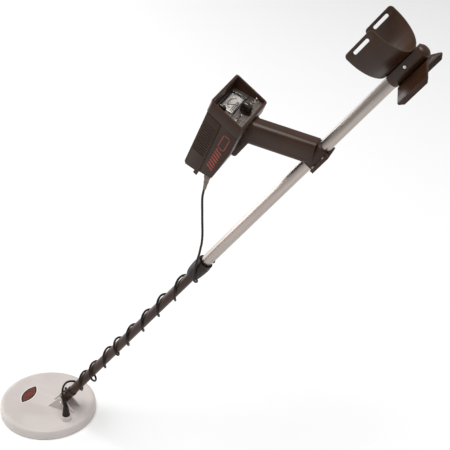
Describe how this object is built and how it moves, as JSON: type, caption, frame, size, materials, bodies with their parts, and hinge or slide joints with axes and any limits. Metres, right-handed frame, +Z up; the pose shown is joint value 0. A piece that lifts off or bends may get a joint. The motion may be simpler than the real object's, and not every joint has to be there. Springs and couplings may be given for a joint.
{
  "type": "metal_detector",
  "caption": "Hand-held metal detector with a round search coil, a stem that slides and locks, pistol grip, meter housing and open arm cuff",
  "frame": {"origin": "middle of the hand grip, on the grip's axis", "axes": "+X to the user's right, +Y forwards to the search coil, +Z up, with the stem sloped as in use and the coil flat"},
  "size_m": [0.203, 0.8277, 0.9979],
  "materials": {
    "brown_plastic": "fine moulded grain, satin",
    "stem_plastic": "satin moulded tube",
    "black_plastic": "moulded, slight sheen on edges",
    "bare_tube": "drawn tube, fine lengthwise lines",
    "coil_plastic": "light grey moulded, fine grain",
    "label_red": "thin printed label, semi-gloss",
    "panel_metal": "brushed crosswise, clear lacquer",
    "bright_metal": "nickel plated",
    "dark_screws": "blackened",
    "cable_rubber": "matt extruded jacket",
    "tie_fabric": "woven hook-and-loop tape",
    "meter_face": "matt cream paint with printed marks",
    "clear_window": "clear moulded window",
    "copper_wire": "enamelled winding wire",
    "board_green": "solder mask",
    "battery_skin": "printed steel can",
    "collet_nylon": "nylon"
  },
  "bodies": {
    "upper_stem": {"upper_tube": "bare_tube", "collar_insert": "brown_plastic", "collet": "collet_nylon", "grip": "brown_plastic", "grip_clamp": "brown_plastic", "clamp_screws": "bright_metal", "housing_body": "brown_plastic", "hood": "brown_plastic", "control_panel": "panel_metal", "meter_case": "black_plastic", "meter_dial": "meter_face", "meter_lens": "clear_window", "potentiometers": "bright_metal", "left_switch": "bright_metal", "right_switch": "bright_metal", "headphone_jack": "bright_metal", "circuit_board": "board_green", "speaker": "battery_skin", "battery_left": "battery_skin", "battery_right": "battery_skin", "battery_clips": "black_plastic", "cable_socket": "bright_metal", "cable_plug": "bright_metal", "housing_screws": "dark_screws", "arm_cuff": "brown_plastic", "cuff_socket": "stem_plastic", "stand": "brown_plastic", "cuff_screws": "bright_metal", "tube_end_plug": "black_plastic", "cable_upper": "cable_rubber"},
    "lower_stem": {"lower_stem": "stem_plastic", "stem_foot": "stem_plastic", "friction_washers": "cable_rubber", "cable_tie": "tie_fabric", "stem_end_plug": "black_plastic", "snap_spring": "bright_metal", "cable_winding": "cable_rubber", "cable_lower": "cable_rubber"},
    "snap_button": {"snap_button": "black_plastic"},
    "locking_collar": {"locking_collar": "black_plastic"},
    "coil": {"coil_top_shell": "coil_plastic", "coil_bottom_cover": "coil_plastic", "transmit_winding": "copper_wire", "receive_winding": "copper_wire", "coil_label": "label_red", "cable_boot": "cable_rubber", "pivot_bolt": "bright_metal"},
    "wing_nut": {"wing_nut": "black_plastic"},
    "large_knob": {"large_knob": "black_plastic"},
    "small_knob": {"small_knob": "black_plastic"},
    "left_lever": {"left_lever": "bright_metal"},
    "right_lever": {"right_lever": "bright_metal"},
    "meter_needle": {"meter_needle": "label_red"},
    "battery_door_left": {"battery_door_left": "brown_plastic"},
    "battery_door_right": {"battery_door_right": "brown_plastic"}
  },
  "joints": [
    {"name": "stem_slide", "type": "slide", "parent": "upper_stem", "child": "lower_stem", "axis": [0, -0.5878, 0.809], "range_m": [0, 0.15], "deforming": ["cable_winding"]},
    {"name": "snap_button_press", "type": "slide", "parent": "lower_stem", "child": "snap_button", "axis": [0, 0.809, 0.5878], "range_m": [0, 0.0025], "stiffness_N_per_m": 1500, "deforming": ["snap_spring"]},
    {"name": "collar_turn", "type": "hinge", "parent": "upper_stem", "child": "locking_collar", "pos_m": [0, 0.14693, -0.30771], "axis": [0, -0.5878, 0.809], "range_deg": [-90, 0]},
    {"name": "coil_tilt", "type": "hinge", "parent": "lower_stem", "child": "coil", "pos_m": [0, 0.44082, -0.71222], "axis": [1, 0, 0], "range_deg": [-50, 60], "deforming": ["cable_lower"]},
    {"name": "wing_nut_turn", "type": "hinge", "parent": "coil", "child": "wing_nut", "pos_m": [0.018, 0.44082, -0.71222], "axis": [1, 0, 0], "continuous": true},
    {"name": "large_knob_turn", "type": "hinge", "parent": "upper_stem", "child": "large_knob", "pos_m": [0.002, 0.06447, 0.04251], "axis": [0, -0.342, 0.9397], "range_deg": [-150, 150]},
    {"name": "small_knob_turn", "type": "hinge", "parent": "upper_stem", "child": "small_knob", "pos_m": [-0.042, 0.09313, 0.05294], "axis": [0, -0.342, 0.9397], "range_deg": [-150, 150]},
    {"name": "left_lever_flip", "type": "hinge", "parent": "upper_stem", "child": "left_lever", "pos_m": [-0.038, 0.06631, 0.03892], "axis": [1, 0, 0], "range_deg": [-28, 0]},
    {"name": "right_lever_flip", "type": "hinge", "parent": "upper_stem", "child": "right_lever", "pos_m": [0.036, 0.06631, 0.03892], "axis": [1, 0, 0], "range_deg": [-28, 0]},
    {"name": "needle_swing", "type": "hinge", "parent": "upper_stem", "child": "meter_needle", "pos_m": [0.008, 0.08356, 0.04414], "axis": [0, -0.342, 0.9397], "range_deg": [-84, 0], "stiffness_Nm_per_rad": 0.00002},
    {"name": "battery_door_left_slide", "type": "slide", "parent": "upper_stem", "child": "battery_door_left", "axis": [0, 0.3606, -0.9327], "range_m": [0, 0.055]},
    {"name": "battery_door_right_slide", "type": "slide", "parent": "upper_stem", "child": "battery_door_right", "axis": [0, 0.3606, -0.9327], "range_m": [0, 0.055]}
  ]
}
